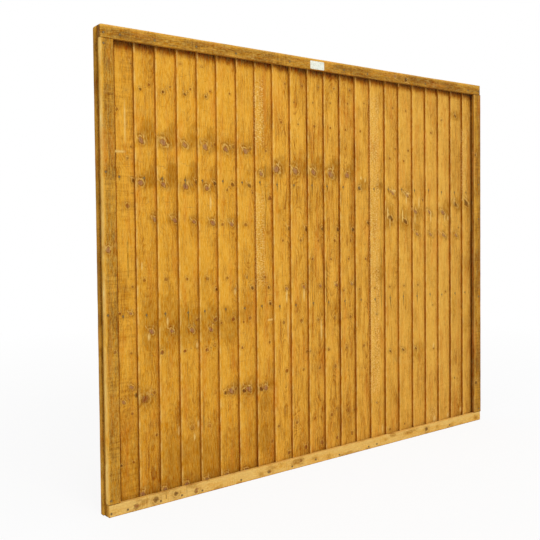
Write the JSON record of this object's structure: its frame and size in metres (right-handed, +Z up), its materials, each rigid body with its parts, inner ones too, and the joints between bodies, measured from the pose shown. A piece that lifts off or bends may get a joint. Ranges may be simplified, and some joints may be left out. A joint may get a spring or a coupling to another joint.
{
  "type": "closeboard fence panel",
  "caption": "Upright feather-edge boards lapped over a back frame of sawn battens, held in front by a thinner trim frame; fixed between posts.",
  "frame": {"origin": "middle of the panel's width and thickness, level with its foot", "axes": "+X along the panel to the right seen from the front, +Y towards the back frame, +Z up"},
  "size_m": [1.828, 0.0488, 1.52],
  "materials": {
    "board_wood": "rough-sawn softwood, golden-brown dip treatment, knots and nail stains",
    "frame_wood": "sawn softwood battens, olive-brown dip treatment, waney edges",
    "nail_zinc": "dull galvanised wire nails",
    "label_paper": "blank pale label, faintly mottled"
  },
  "bodies": {
    "root": {"board_01": "board_wood", "board_02": "board_wood", "board_03": "board_wood", "board_04": "board_wood", "board_05": "board_wood", "board_06": "board_wood", "board_07": "board_wood", "board_08": "board_wood", "board_09": "board_wood", "board_10": "board_wood", "board_11": "board_wood", "board_12": "board_wood", "board_13": "board_wood", "board_14": "board_wood", "board_15": "board_wood", "board_16": "board_wood", "board_17": "board_wood", "board_18": "board_wood", "board_19": "board_wood", "board_20": "board_wood", "board_21": "board_wood", "board_22": "board_wood", "back_left_stile": "frame_wood", "back_right_stile": "frame_wood", "back_top_rail": "frame_wood", "back_upper_rail": "frame_wood", "back_lower_rail": "frame_wood", "back_bottom_rail": "frame_wood", "left_edge_strip": "frame_wood", "front_left_stile": "frame_wood", "front_right_stile": "frame_wood", "front_top_rail": "frame_wood", "front_bottom_rail": "frame_wood", "upper_row_nails": "nail_zinc", "lower_row_nails": "nail_zinc", "top_rail_nails": "nail_zinc", "bottom_rail_nails": "nail_zinc", "left_stile_nails": "nail_zinc", "right_stile_nails": "nail_zinc", "label": "label_paper"}
  },
  "joints": []
}
